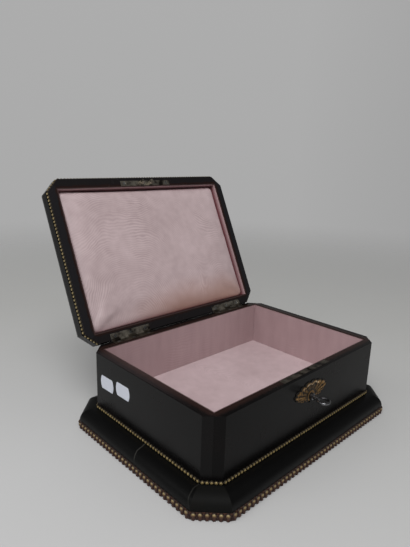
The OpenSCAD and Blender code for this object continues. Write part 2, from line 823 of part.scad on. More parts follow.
// Height of the cushion over its back at u and v, from -1 to 1 across it
function pad_height(u, v) =
    pad_crown * pow(max(0, 1 - pow(abs(u), 5)), 0.42) * pow(max(0, 1 - pow(abs(v), 4)), 0.42)
    * (0.74 + 0.26 * cos(u * 90) * cos(v * 90));

// A crowned cushion with a flat back and sides that draw in between its corners
module lid_pad() {
    w = in_x - lining_t - pad_gap;
    d = in_y - lining_t - pad_gap;
    nx = pad_steps_x;
    ny = pad_steps_y;
    row = nx + 1;
    points = [for (j = [0:ny], i = [0:nx])
        let (u = -cos(180 * i / nx), v = -cos(180 * j / ny),
             x = u * (w - pad_draw * (1 - pow(v, 2))), y = v * (d - pad_draw * (1 - pow(u, 2))))
        [x, y, pad_height(u, v)]];
    top = [for (j = [0:ny - 1], i = [0:nx - 1])
        let (a = j * row + i)
        for (t = [[a, a + row, a + row + 1], [a, a + row + 1, a + 1]]) t];
    rim = concat(
        [for (i = [0:nx - 1]) i], [for (j = [0:ny - 1]) j * row + nx],
        [for (i = [nx:-1:1]) ny * row + i], [for (j = [ny:-1:1]) j * row]);
    middle = len(points);
    back = [for (k = [0:len(rim) - 1]) [middle, rim[k], rim[(k + 1) % len(rim)]]];
    color(silk) open_lid() translate([0, 0, lid_z + pad_back]) mirror([0, 0, 1])
        polyhedron(concat(points, [[0, 0, 0]]), concat(top, back));
}

// The strike plate with the two staples that the bolt passes through
module strike_plate() {
    color(brass) open_lid() difference() {
        union() {
            translate([-edge_plate_l / 2, -in_y - edge_plate_w, lid_z]) cube([edge_plate_l, edge_plate_w, strike_t]);
            for (x = staple_xs) translate([x - staple_t / 2, plate_y - staple_w / 2, staple_low_z]) cube([staple_t, staple_w, staple_h + eps]);
        }
        for (x = staple_xs) translate([x - staple_t, plate_y - staple_w / 2 + staple_wall, staple_eye_z])
            cube([2 * staple_t, staple_w - 2 * staple_wall, staple_eye_h]);
        on_lid_rim() for (s = [-1, 1]) translate([s * plate_screw_x, plate_y, 0]) screw_hole();
    }
}

module strike_screws() {
    color(steel) open_lid() on_lid_rim() for (s = [-1, 1]) translate([s * plate_screw_x, plate_y, 0]) screw();
}

base_board();
floor_board();
wall_front();
wall_back();
wall_left();
wall_right();
plinth_front();
plinth_back();
plinth_left();
plinth_right();
plinth_corners();
beading_base();
beading_case();
lining_front();
lining_back();
lining_left();
lining_right();
lining_floor();
hinge_leaves_case();
hinge_pins();
hinge_screws_case();
lock_case();
lock_cap();
lock_bolt();
lock_studs();
lock_drill_pin();
lock_spring();
lock_screws();
escutcheon();
escutcheon_pins();
key();
lid_rail_front();
lid_rail_back();
lid_rail_left();
lid_rail_right();
lid_moulding_front();
lid_moulding_back();
lid_moulding_left();
lid_moulding_right();
lid_moulding_corners();
lid_panel();
beading_lid();
lid_lining();
lid_pad_board();
lid_pad();
hinge_leaves_lid();
hinge_screws_lid();
strike_plate();
strike_screws();
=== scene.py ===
"""A stationery box in ebonised wood: cut corners, a moulded plinth, beaded brass edging, a watered-silk
inside, a padded lid and a box lock with its key. Metres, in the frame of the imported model."""
import bmesh
import bpy
import math
from mathutils import Matrix, Vector, noise


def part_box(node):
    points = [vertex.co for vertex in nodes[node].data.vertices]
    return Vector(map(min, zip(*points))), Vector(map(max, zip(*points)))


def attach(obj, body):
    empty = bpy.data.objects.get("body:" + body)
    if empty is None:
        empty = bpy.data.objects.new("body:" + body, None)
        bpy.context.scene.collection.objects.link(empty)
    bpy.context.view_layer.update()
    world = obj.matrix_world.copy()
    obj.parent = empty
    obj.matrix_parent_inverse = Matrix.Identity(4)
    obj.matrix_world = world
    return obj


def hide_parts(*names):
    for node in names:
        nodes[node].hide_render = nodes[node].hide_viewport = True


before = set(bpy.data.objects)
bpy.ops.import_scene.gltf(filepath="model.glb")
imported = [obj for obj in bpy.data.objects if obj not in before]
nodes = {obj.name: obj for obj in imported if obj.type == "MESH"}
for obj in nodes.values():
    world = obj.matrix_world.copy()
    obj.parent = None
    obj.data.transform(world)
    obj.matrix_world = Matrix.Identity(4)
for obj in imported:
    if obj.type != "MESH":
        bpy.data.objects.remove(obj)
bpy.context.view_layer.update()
MM = 0.001

# ---------------------------------------------------------------------------------------------------
# The table it stands on. A pale seamless paper sweep under a large soft lamp above the eye and a
# weaker one at the left, in a room whose far side is dim. The eye is off the box's front left corner.
# ---------------------------------------------------------------------------------------------------


def linear(hex_colour):
    """A linear colour from an sRGB hex value."""
    parts = [int(hex_colour[i:i + 2], 16) / 255 for i in (1, 3, 5)]
    return [c / 12.92 if c <= 0.04045 else ((c + 0.055) / 1.055) ** 2.4 for c in parts] + [1.0]


def add(tree, kind, inputs=None, **settings):
    """Adds a node, with its settings and with a value or another node's socket for each input."""
    node = tree.nodes.new(kind)
    for key, value in settings.items():
        setattr(node, key, value)
    for key, value in (inputs or {}).items():
        if isinstance(value, bpy.types.NodeSocket):
            tree.links.new(value, node.inputs[key])
        else:
            node.inputs[key].default_value = value
    return node


def new_finish(name):
    """A new material, with its tree and its surface shader."""
    made = bpy.data.materials.new(name)
    made.use_nodes = True
    return made, made.node_tree, made.node_tree.nodes["Principled BSDF"]


EYE = Vector((-0.4148, -0.3631, 0.3229))
EYE_YAW, EYE_PITCH, EYE_ROLL = (math.radians(a) for a in (43.97, -14.28, 1.76))
PICTURE_H, FOCAL_PX = 547, 471.45

ahead = Vector((math.sin(EYE_YAW) * math.cos(EYE_PITCH), math.cos(EYE_YAW) * math.cos(EYE_PITCH),
                math.sin(EYE_PITCH)))
level = Vector((math.cos(EYE_YAW), -math.sin(EYE_YAW), 0))
above = level.cross(ahead)
aside = math.cos(EYE_ROLL) * level + math.sin(EYE_ROLL) * above
upright = -math.sin(EYE_ROLL) * level + math.cos(EYE_ROLL) * above
camera = bpy.data.objects.new("camera", bpy.data.cameras.new("camera"))
camera.data.sensor_width = 36
camera.data.lens = FOCAL_PX / PICTURE_H * camera.data.sensor_width
camera.data.clip_start = 0.01
camera.matrix_world = Matrix.Translation(EYE) @ Matrix((aside, upright, -ahead)).transposed().to_4x4()
bpy.context.scene.collection.objects.link(camera)
bpy.context.scene.camera = camera
bpy.context.scene.view_settings.view_transform = "Standard"

# Matt cartridge paper, which runs out into the room, painted a little darker away from a spot at the near left: painted
# fall-off of the light
SWEEP_HALF, LIT_SPOT = 3, (-0.22, -0.04, 0)
LIT_TO, FALLOFF_FROM, RUNS_OUT = 0.1, 0.65, (0.45, 1.9)
paper, tree, bsdf = new_finish("paper_sweep")
bsdf.inputs["Roughness"].default_value = 0.85
bsdf.inputs["Specular IOR Level"].default_value = 0.2
spot = add(tree, "ShaderNodeTexCoord")
near = add(tree, "ShaderNodeVectorMath", {0: spot.outputs["Object"], 1: LIT_SPOT}, operation="DISTANCE")
# Painted fall-off of the light: the grey darkens with distance from the spot
duller = add(tree, "ShaderNodeMapRange", {"Value": near.outputs["Value"], "From Min": LIT_TO, "From Max": FALLOFF_FROM})
grey = add(tree, "ShaderNodeMix", {"Factor": duller.outputs[0], "A": linear("#bcbcbc"), "B": linear("#b4b4b2")},
           data_type="RGBA")
tree.links.new(grey.outputs["Result"], bsdf.inputs["Base Color"])
away = add(tree, "ShaderNodeVectorMath", {0: spot.outputs["Object"]}, operation="LENGTH")
fade = add(tree, "ShaderNodeMapRange", {"Value": away.outputs["Value"], "From Min": RUNS_OUT[0],
                                        "From Max": RUNS_OUT[1]}, interpolation_type="SMOOTHSTEP")
clear = add(tree, "ShaderNodeBsdfTransparent")
mixed = add(tree, "ShaderNodeMixShader", {0: fade.outputs[0], 1: bsdf.outputs[0], 2: clear.outputs[0]})
tree.links.new(mixed.outputs[0], tree.nodes["Material Output"].inputs["Surface"])
sheet = bpy.data.meshes.new("paper_sweep")
corners = [(x * SWEEP_HALF, y * SWEEP_HALF, 0) for x, y in ((-1, -1), (1, -1), (1, 1), (-1, 1))]
sheet.from_pydata(corners, [], [(0, 1, 2, 3)])
sheet.materials.append(paper)
sweep = bpy.data.objects.new("paper_sweep", sheet)
bpy.context.scene.collection.objects.link(sweep)

# Sight sees a paper backdrop, a little darker low down and to the right; gloss sees that backdrop
# behind the box and a dim room round it; and an even light fills the shadows
AWAY, RIGHTWARD = (0.69, 0.72, 0), (0.72, -0.69, 0)
world = bpy.data.worlds.new("room")
bpy.context.scene.world = world
world.use_nodes = True
tree = world.node_tree
ray = add(tree, "ShaderNodeLightPath")
heading = add(tree, "ShaderNodeTexCoord")
climb = add(tree, "ShaderNodeSeparateXYZ", {"Vector": heading.outputs["Generated"]})
behind = add(tree, "ShaderNodeVectorMath", {0: heading.outputs["Generated"], 1: AWAY}, operation="DOT_PRODUCT")
backdrop = add(tree, "ShaderNodeMapRange", {"Value": climb.outputs["Z"], "From Min": -0.15, "From Max": 0.25,
                                            "To Min": 0.4, "To Max": 0.415})
rightward = add(tree, "ShaderNodeVectorMath", {0: heading.outputs["Generated"], 1: RIGHTWARD},
                operation="DOT_PRODUCT")
shaded = add(tree, "ShaderNodeMapRange", {"Value": rightward.outputs["Value"], "From Min": 0.18, "From Max": 0.5,
                                          "To Min": 1.0, "To Max": 0.86})
backdrop = add(tree, "ShaderNodeMath", {0: backdrop.outputs[0], 1: shaded.outputs[0]}, operation="MULTIPLY")
far_side = add(tree, "ShaderNodeMapRange", {"Value": behind.outputs["Value"], "From Min": -0.1, "From Max": 0.6,
                                            "To Min": 0.22, "To Max": 1.0}, interpolation_type="SMOOTHSTEP")
low_down = add(tree, "ShaderNodeMapRange", {"Value": climb.outputs["Z"], "From Min": 0.12, "From Max": 0.5,
                                            "To Min": 0.38, "To Max": 0.035}, interpolation_type="SMOOTHSTEP")
dim = add(tree, "ShaderNodeMath", {0: far_side.outputs[0], 1: low_down.outputs[0]}, operation="MULTIPLY")
white = (1, 1, 1, 1)
seen = add(tree, "ShaderNodeBackground", {"Color": white, "Strength": backdrop.outputs[0]})
shine = add(tree, "ShaderNodeBackground", {"Color": white, "Strength": dim.outputs[0]})
fill = add(tree, "ShaderNodeBackground", {"Color": white, "Strength": 0.42})
glossy = add(tree, "ShaderNodeMath", {0: ray.outputs["Is Glossy Ray"], 1: ray.outputs["Is Transmission Ray"]},
             operation="MAXIMUM")
lit = add(tree, "ShaderNodeMixShader", {0: glossy.outputs[0], 1: fill.outputs[0], 2: shine.outputs[0]})
shown = add(tree, "ShaderNodeMixShader", {0: ray.outputs["Is Camera Ray"], 1: lit.outputs[0], 2: seen.outputs[0]})
tree.links.new(shown.outputs[0], tree.nodes["World Output"].inputs["Surface"])

# Each lamp: where it hangs, how wide it is, and its power in watts
LAMPS = (("lamp_over_eye", (-0.78, -0.68, 1.62), 1.1, 23), ("lamp_left", (-1.6, 0.5, 1.3), 1.2, 6))
LAMP_AIM = Vector((0, 0, 0.05))
for name, at, size, power in LAMPS:
    lamp = bpy.data.objects.new(name, bpy.data.lights.new(name, "AREA"))
    lamp.data.shape = "SQUARE"
    lamp.data.size = size
    lamp.data.energy = power
    lamp.location = at
    lamp.rotation_euler = (LAMP_AIM - Vector(at)).to_track_quat("-Z", "Y").to_euler()
    bpy.context.scene.collection.objects.link(lamp)

# ---------------------------------------------------------------------------------------------------
# Base board. A softwood board sawn to the plinth's outline, stained red-brown and rubbed along the
# edge that touches the table. The mouldings are glued down on it.
# ---------------------------------------------------------------------------------------------------

LID_OPEN = 115.5
RIM_Z, RIM_GAP = 94 * MM, 0.4 * MM
PIN = Vector((0, 107, 94.2)) * MM


def place(tree, body):
    """Where a point of a piece lies, in metres: on the standing case, or on the lid as if it were shut."""
    at = add(tree, "ShaderNodeTexCoord").outputs["Object"]
    if body != "lid":
        return at
    turn = Matrix.Rotation(math.radians(LID_OPEN), 3, "X")
    return add(tree, "ShaderNodeMapping", {"Vector": at, "Location": PIN - turn @ PIN,
                                           "Rotation": (math.radians(LID_OPEN), 0, 0)}).outputs[0]


def dress(material, slot, *names):
    """Gives CAD nodes, or pieces, one material."""
    for name in names:
        piece = nodes[name] if isinstance(name, str) else name
        piece.data.materials.clear()
        piece.data.materials.append(material)


def marks(size):
    """A pattern's scale, for marks of a real size in metres."""
    return 1 / size


# Stained softwood, planed and left unpolished: matt, with streaks 1.2 mm wide that run along the board
softwood, tree, bsdf = new_finish("stained_softwood")
bsdf.inputs["Roughness"].default_value = 0.62
drawn = add(tree, "ShaderNodeMapping", {"Vector": place(tree, "case"), "Scale": (1, 14, 14)})
streak = add(tree, "ShaderNodeTexNoise", {"Vector": drawn.outputs[0], "Scale": marks(16.67 * MM), "Detail": 5})
colour = add(tree, "ShaderNodeValToRGB", {"Fac": streak.outputs["Fac"]})
for stop, position, brown in zip(colour.color_ramp.elements, (0.35, 0.68), ("#2a160e", "#5a3626")):
    stop.position, stop.color = position, linear(brown)
tree.links.new(colour.outputs[0], bsdf.inputs["Base Color"])
bump = add(tree, "ShaderNodeBump", {"Height": streak.outputs["Fac"], "Strength": 0.25, "Distance": 0.2 * MM})
tree.links.new(bump.outputs[0], bsdf.inputs["Normal"])
dress(softwood, "brown_wood", "base_board", "floor_board")

# ---------------------------------------------------------------------------------------------------
# Case walls. Boards of close-grained fruitwood, mitred at the cut corners, stained black and French
# polished to a satin gloss. Where hands have rubbed the rim the stain has worn to brown.
# ---------------------------------------------------------------------------------------------------


# Half width and half depth of the hollow that the linings stand in
HOLLOW_HALF = (138.6 * MM, 94.6 * MM)
# How ragged the edge of a rim's rubbed brown is, and how roundly it turns the corners
RAGGED, ROUNDED = 5 * MM, 12 * MM
# Cracks cross the middle of the plinth's moulding, at this height, and wander this far from straight.
# Their half lengths and half widths are given where they begin to fade and where they end
CRACK_MIDDLE_Z, CRACK_WANDER = 20 * MM, 12 * MM
CRACK_LONG, CRACK_WIDE = (4 * MM, 8 * MM), (0.2 * MM, 0.7 * MM)


# Ebonised fruitwood, French polished: near black, with a soft sheen that grain and handling break up.
# rim gives the distances beyond the linings between which the rubbed brown of a rim goes back to black,
# wear is how brown its flecks are, dust is how much of it lies on the wood, and cracks are the places
# along the board where the finish has cracked across it, each with its strength.
def ebonised(name, body, along, black="#0a0909", rough=(0.18, 0.3), gloss=0.16, rim=None, wear=0.0,
             cracks=(), dust=0.0):
    made, tree, bsdf = new_finish(name)
    bsdf.inputs["Specular IOR Level"].default_value = gloss
    bsdf.inputs["Sheen Weight"].default_value = dust
    bsdf.inputs["Sheen Roughness"].default_value = 0.25
    at = place(tree, body)
    stretch = {"X": (1, 12, 12), "Y": (12, 1, 12), "Z": (12, 12, 1)}[along]
    drawn = add(tree, "ShaderNodeMapping", {"Vector": at, "Scale": stretch})
    # Pores are 0.1 mm wide in the wood and drawn about 1 mm wide here, so that they show
    grain = add(tree, "ShaderNodeTexNoise", {"Vector": drawn.outputs[0], "Scale": marks(13.33 * MM), "Detail": 6,
                                             "Roughness": 0.62})
    cloud = add(tree, "ShaderNodeTexNoise", {"Vector": at, "Scale": marks(45.45 * MM), "Detail": 4, "Roughness": 0.55})
    rubbed = add(tree, "ShaderNodeTexNoise", {"Vector": at, "Scale": marks(6.25 * MM), "Detail": 3})
    fleck = add(tree, "ShaderNodeMapRange", {"Value": cloud.outputs["Fac"], "From Min": 0.5, "From Max": 0.8,
                                             "To Min": 0.0, "To Max": wear})
    amount = fleck.outputs[0]
    part = add(tree, "ShaderNodeSeparateXYZ", {"Vector": at})
    if rim:
        # The brown lies on the rim's face: the top of the case, and the underside of the shut lid
        edge = (RIM_Z - 0.9 * MM, RIM_Z - 0.1 * MM) if body == "case" else (RIM_Z + 1.3 * MM, RIM_Z + 0.5 * MM)
        top = add(tree, "ShaderNodeMapRange", {"Value": part.outputs["Z"], "From Min": edge[0], "From Max": edge[1]})
        half = add(tree, "ShaderNodeVectorMath", {0: at}, operation="ABSOLUTE")
        inner = add(tree, "ShaderNodeVectorMath", {0: half.outputs[0], 1: (*HOLLOW_HALF, 0)}, operation="SUBTRACT")
        inner = add(tree, "ShaderNodeSeparateXYZ", {"Vector": inner.outputs[0]})
        beyond = add(tree, "ShaderNodeMath", {0: inner.outputs["X"], 1: inner.outputs["Y"], 2: ROUNDED},
                     operation="SMOOTH_MAX")
        ragged = add(tree, "ShaderNodeMath", {0: rubbed.outputs["Fac"], 1: RAGGED, 2: beyond.outputs[0]},
                     operation="MULTIPLY_ADD")
        band = add(tree, "ShaderNodeMapRange", {"Value": ragged.outputs[0], "From Min": rim[0], "From Max": rim[1],
                                                "To Min": 1.0, "To Max": 0.0}, interpolation_type="SMOOTHSTEP")
        bare = add(tree, "ShaderNodeMath", {0: top.outputs[0], 1: band.outputs[0]}, operation="MULTIPLY")
        amount = add(tree, "ShaderNodeMath", {0: bare.outputs[0], 1: amount}, operation="MAXIMUM").outputs[0]
    brown = add(tree, "ShaderNodeMix", {"Factor": grain.outputs["Fac"], "A": linear("#2a1b18"), "B": linear("#1d1310")},
                data_type="RGBA")
    colour = add(tree, "ShaderNodeMix", {"Factor": amount, "A": linear(black), "B": brown.outputs["Result"]},
                 data_type="RGBA")
    for spot, strength in cracks:
        # A crack runs down across the moulding, bent and slanting, with pale lips. It is a hair wide, and
        # drawn 1 mm wide, so that it shows
        slant = add(tree, "ShaderNodeMath", {0: part.outputs["Z"], 1: -0.5, 2: part.outputs[along]},
                    operation="MULTIPLY_ADD")
        bent = add(tree, "ShaderNodeMath", {0: cloud.outputs["Fac"], 1: CRACK_WANDER, 2: slant.outputs[0]},
                   operation="MULTIPLY_ADD")
        off = add(tree, "ShaderNodeMath", {0: bent.outputs[0], 1: spot}, operation="SUBTRACT")
        off = add(tree, "ShaderNodeMath", {0: off.outputs[0]}, operation="ABSOLUTE")
        end = add(tree, "ShaderNodeMath", {0: part.outputs["Z"], 1: CRACK_MIDDLE_Z}, operation="SUBTRACT")
        end = add(tree, "ShaderNodeMath", {0: end.outputs[0]}, operation="ABSOLUTE")
        depth = add(tree, "ShaderNodeMapRange", {"Value": end.outputs[0], "From Min": CRACK_LONG[0],
                                                 "From Max": CRACK_LONG[1], "To Min": strength, "To Max": 0.0})
        lip = add(tree, "ShaderNodeMapRange", {"Value": off.outputs[0], "From Min": CRACK_WIDE[0],
                                               "From Max": CRACK_WIDE[1], "To Min": depth.outputs[0], "To Max": 0.0})
        colour = add(tree, "ShaderNodeMix", {"Factor": lip.outputs[0], "A": colour.outputs["Result"],
                                             "B": linear("#4a4945")}, data_type="RGBA")
    tree.links.new(colour.outputs["Result"], bsdf.inputs["Base Color"])
    haze = add(tree, "ShaderNodeMapRange", {"Value": cloud.outputs["Fac"], "From Min": 0.3, "From Max": 0.7,
                                            "To Min": rough[0], "To Max": rough[1]})
    tree.links.new(haze.outputs[0], bsdf.inputs["Roughness"])
    bump = add(tree, "ShaderNodeBump", {"Height": grain.outputs["Fac"], "Strength": 0.12, "Distance": 0.08 * MM})
    tree.links.new(bump.outputs[0], bsdf.inputs["Normal"])
    return made


case_rim = (5.5 * MM, 11 * MM)
dress(ebonised("ebonised_wall_long", "case", "X", gloss=0.11, rim=case_rim, wear=0.12), "ebonised_wood",
      "wall_front", "wall_back")
dress(ebonised("ebonised_wall_side", "case", "Y", rim=case_rim, wear=0.12), "ebonised_wood", "wall_left", "wall_right")

# Sanding and wear have taken the sharp edges off
EASED, JOINED = 0.5 * MM, 0.002 * MM
for name in ("wall_front", "wall_back", "wall_left", "wall_right"):
    nodes[name].modifiers.new("joined", "WELD").merge_threshold = JOINED
    ease = nodes[name].modifiers.new("eased", "BEVEL")
    ease.width, ease.segments, ease.limit_method, ease.angle_limit = EASED, 2, "ANGLE", math.radians(40)

# ---------------------------------------------------------------------------------------------------
# Plinth mouldings. Lengths of rounded moulding, mitred round the case and glued to the base board.
# Their polish is duller than the walls' and cracked in places, and dust lies on the corner lengths.
# ---------------------------------------------------------------------------------------------------

plinth_polish = {"black": "#0a0a0a", "rough": (0.34, 0.46), "gloss": 0.14}
dress(ebonised("ebonised_plinth_long", "case", "X", **plinth_polish), "ebonised_wood", "plinth_front", "plinth_back")
dress(ebonised("ebonised_plinth_side", "case", "Y", cracks=((-96 * MM, 0.25), (-11.5 * MM, 0.6)), **plinth_polish),
      "ebonised_wood", "plinth_left", "plinth_right")
dress(ebonised("ebonised_plinth_corner", "case", "Z", "#0e0e0d", rough=(0.62, 0.75), gloss=0.12, wear=0.2, dust=0.3),
      "ebonised_wood", "plinth_corners")

# ---------------------------------------------------------------------------------------------------
# Beading. Thin gilt brass strip pressed into a row of beads and pinned along the edges. The gilding
# stays on the crowns, and dirt and painted shade darken it between them.
# ---------------------------------------------------------------------------------------------------


# What a strip is pinned to: its half width, its half depth, and the two added at a cut corner
CASE_WALL = (150 * MM, 106 * MM, 240.5 * MM)
BASE_WALL = (169.8 * MM, 125.8 * MM, 268.5 * MM)
HALF_ROOT_2 = 0.70711
# How deep the dirt lies where it lies thickest
DIRT_DEPTH = 0.9 * MM


# Pressed brass, gilded and worn: pale gold on the crowns that hands rub, darker towards the wall, where dirt
# settles and painted shade stands for the shade between the beads. crowns gives the distances out from the
# wall at which the dirt and painted shade end and at which the gilding is clean, foot the heights between which
# it goes over to brown, with two browns from low to high: the strip's own brown, and painted shade on the
# beads' lower halves under tops that keep the gold as a painted highlight. bare is the pale colour on the
# highest crowns: gilding worn off there, and a painted highlight.
def worn_gilt(name, body, bright, dull, crowns, wall=CASE_WALL, foot=None, rough=0.32, bare=None):
    made, tree, bsdf = new_finish(name)
    at = place(tree, body)
    half = add(tree, "ShaderNodeVectorMath", {0: at}, operation="ABSOLUTE")
    sides = add(tree, "ShaderNodeVectorMath", {0: half.outputs[0], 1: (wall[0], wall[1], 0)}, operation="SUBTRACT")
    sides = add(tree, "ShaderNodeSeparateXYZ", {"Vector": sides.outputs[0]})
    across = add(tree, "ShaderNodeVectorMath", {0: half.outputs[0], 1: (HALF_ROOT_2, HALF_ROOT_2, 0)},
                 operation="DOT_PRODUCT")
    cut = add(tree, "ShaderNodeMath", {0: across.outputs["Value"], 1: wall[2] * HALF_ROOT_2}, operation="SUBTRACT")
    flat = add(tree, "ShaderNodeMath", {0: sides.outputs["X"], 1: sides.outputs["Y"]}, operation="MAXIMUM")
    out = add(tree, "ShaderNodeMath", {0: flat.outputs[0], 1: cut.outputs[0]}, operation="MAXIMUM")
    # Painted shade with dirt: darker towards the wall, in the hollows between the beads and round the plate's edge
    dirt = add(tree, "ShaderNodeTexNoise", {"Vector": at, "Scale": marks(4.545 * MM), "Detail": 4, "Roughness": 0.6})
    grime_and_shade = add(tree, "ShaderNodeMath", {0: dirt.outputs["Fac"], 1: -DIRT_DEPTH, 2: out.outputs[0]},
                operation="MULTIPLY_ADD")
    crown = add(tree, "ShaderNodeMapRange", {"Value": grime_and_shade.outputs[0], "From Min": crowns[0], "From Max": crowns[1]},
                interpolation_type="SMOOTHSTEP").outputs[0]
    colour = add(tree, "ShaderNodeMix", {"Factor": crown, "A": linear(dull), "B": linear(bright)}, data_type="RGBA")
    # The highest crowns are painted pale: gilding worn off there, and a painted highlight
    if bare:
        pale_crowns = add(tree, "ShaderNodeMapRange", {"Value": grime_and_shade.outputs[0], "From Min": crowns[1] - 0.45 * MM,
                                                   "From Max": crowns[1] - 0.1 * MM})
        colour = add(tree, "ShaderNodeMix", {"Factor": pale_crowns.outputs[0], "A": colour.outputs["Result"],
                                             "B": linear(bare)}, data_type="RGBA")
    if foot:
        # Low down it goes brown: the strip's own brown, and painted shade on the beads' lower halves, so that gold
        # stays on their tops as a painted highlight
        brown_below, clean, low_brown, high_brown = foot
        height = add(tree, "ShaderNodeSeparateXYZ", {"Vector": at})
        low = add(tree, "ShaderNodeMapRange", {"Value": height.outputs["Z"], "From Min": brown_below, "From Max": clean,
                                               "To Min": 1.0, "To Max": 0.0}, interpolation_type="SMOOTHSTEP")
        sunk = add(tree, "ShaderNodeMapRange", {"Value": height.outputs["Z"], "From Min": 1 * MM, "From Max": brown_below})
        clay = add(tree, "ShaderNodeMix", {"Factor": sunk.outputs[0], "A": linear(low_brown),
                                           "B": linear(high_brown)}, data_type="RGBA")
        ruddy = add(tree, "ShaderNodeMix", {"Factor": crown, "A": linear("#331c17"), "B": clay.outputs["Result"]},
                    data_type="RGBA")
        colour = add(tree, "ShaderNodeMix", {"Factor": low.outputs[0], "A": colour.outputs["Result"],
                                             "B": ruddy.outputs["Result"]}, data_type="RGBA")
        left = add(tree, "ShaderNodeMath", {0: 1.0, 1: low.outputs[0]}, operation="SUBTRACT", use_clamp=True)
        crown = add(tree, "ShaderNodeMath", {0: crown, 1: left.outputs[0]}, operation="MULTIPLY").outputs[0]
    tree.links.new(colour.outputs["Result"], bsdf.inputs["Base Color"])
    metal = add(tree, "ShaderNodeMapRange", {"Value": crown, "To Min": 0.2, "To Max": 0.9})
    tree.links.new(metal.outputs[0], bsdf.inputs["Metallic"])
    blur = add(tree, "ShaderNodeMapRange", {"Value": crown, "To Min": 0.6, "To Max": rough})
    tree.links.new(blur.outputs[0], bsdf.inputs["Roughness"])
    bump = add(tree, "ShaderNodeBump", {"Height": dirt.outputs["Fac"], "Strength": 0.2, "Distance": 0.1 * MM})
    tree.links.new(bump.outputs[0], bsdf.inputs["Normal"])
    return made


beads = (0.6 * MM, 1.5 * MM)
dress(worn_gilt("gilt_beading_case", "case", "#c9b27a", "#2d230f", beads), "brass", "beading_case")
dress(worn_gilt("gilt_beading_lid", "lid", "#cdb886", "#2d230f", beads), "brass", "beading_lid")
# The base beads keep gold only on their tops, a painted highlight, over brown: the strip's own, and painted shade on
# their lower halves
dress(worn_gilt("gilt_beading_base", "case", "#c9b483", "#2c1c14", (0.8 * MM, 2.2 * MM), BASE_WALL,
                foot=(5.7 * MM, 7.7 * MM, "#47251e", "#573b22")), "brass", "beading_base")

# ---------------------------------------------------------------------------------------------------
# Linings of the case. Card covered with pink watered silk and glued to the walls and floor. The silk
# is finely ribbed, and the press has left wavy bands in it like the grain of a board.
# ---------------------------------------------------------------------------------------------------


# How far the second eye's rings lie behind the first's, how softly the two run into each other, how far
# the lines sway, and how far apart the ribs are drawn. They are 0.3 mm apart, and wouldn't show so fine
EYE_BEHIND, EYE_BLEND, SWAY, RIB = 80 * MM, 30 * MM, 32 * MM, 1.2 * MM
# The peach patch is long from side to side, so its middle and its reach are measured squat
PEACH_SQUAT, PEACH_MIDDLE = (0.45, 1.5, 0), (24 * MM, 150 * MM, 0)
PEACH_END, PEACH_FULL = 105 * MM, 35 * MM
